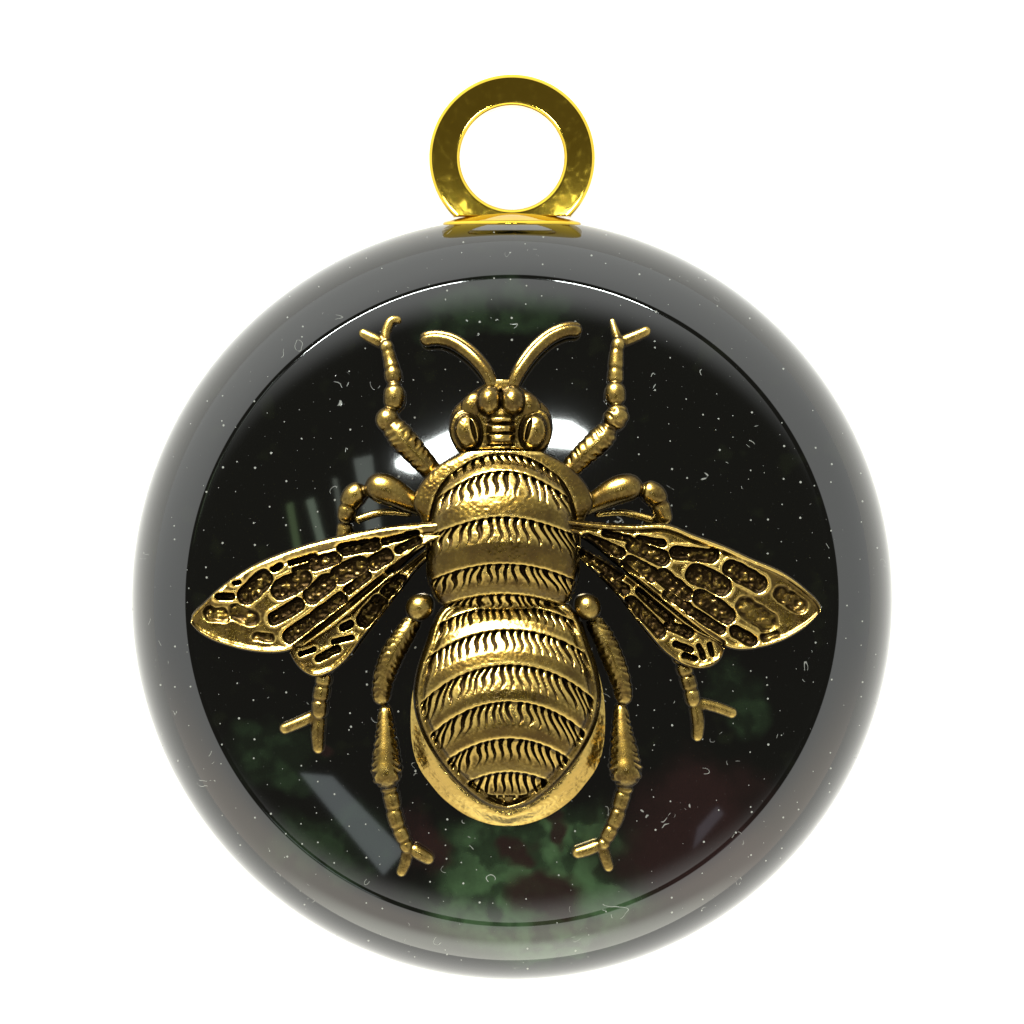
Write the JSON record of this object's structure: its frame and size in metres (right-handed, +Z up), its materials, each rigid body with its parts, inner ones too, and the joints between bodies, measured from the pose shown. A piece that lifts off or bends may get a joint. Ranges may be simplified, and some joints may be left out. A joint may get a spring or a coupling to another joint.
{
  "type": "hanging disc ornament with metal bee",
  "caption": "Hanging disc ornament: a thick marbled resin disc with a rounded rim, a flat gold hanger ring on top and a large metal bee fixed to its front face.",
  "frame": {"origin": "centre of the hanger ring's hole, where the ornament hangs", "axes": "+Z up as it hangs, front with the bee faces -Y, +X to the right seen from the front"},
  "size_m": [0.057, 0.0193, 0.0677],
  "materials": {
    "marbled_resin": "polished, opaque, marbled in near-black green, olive green and plum brown",
    "polished_gold": "polished yellow gold plate",
    "antique_gold": "antique gold casting with dark patina in its hollows"
  },
  "bodies": {
    "root": {"disc": "marbled_resin", "seat_plate": "polished_gold", "hanger_ring": "polished_gold", "bee_back_plate": "antique_gold", "bee_abdomen": "antique_gold", "bee_thorax": "antique_gold", "bee_head": "antique_gold", "bee_antenna_left": "antique_gold", "bee_antenna_right": "antique_gold", "bee_forewing_left": "antique_gold", "bee_forewing_right": "antique_gold", "bee_hindwing_left": "antique_gold", "bee_hindwing_right": "antique_gold", "bee_foreleg_left": "antique_gold", "bee_foreleg_right": "antique_gold", "bee_midleg_left": "antique_gold", "bee_midleg_right": "antique_gold", "bee_hindleg_left": "antique_gold", "bee_hindleg_right": "antique_gold"}
  },
  "joints": []
}
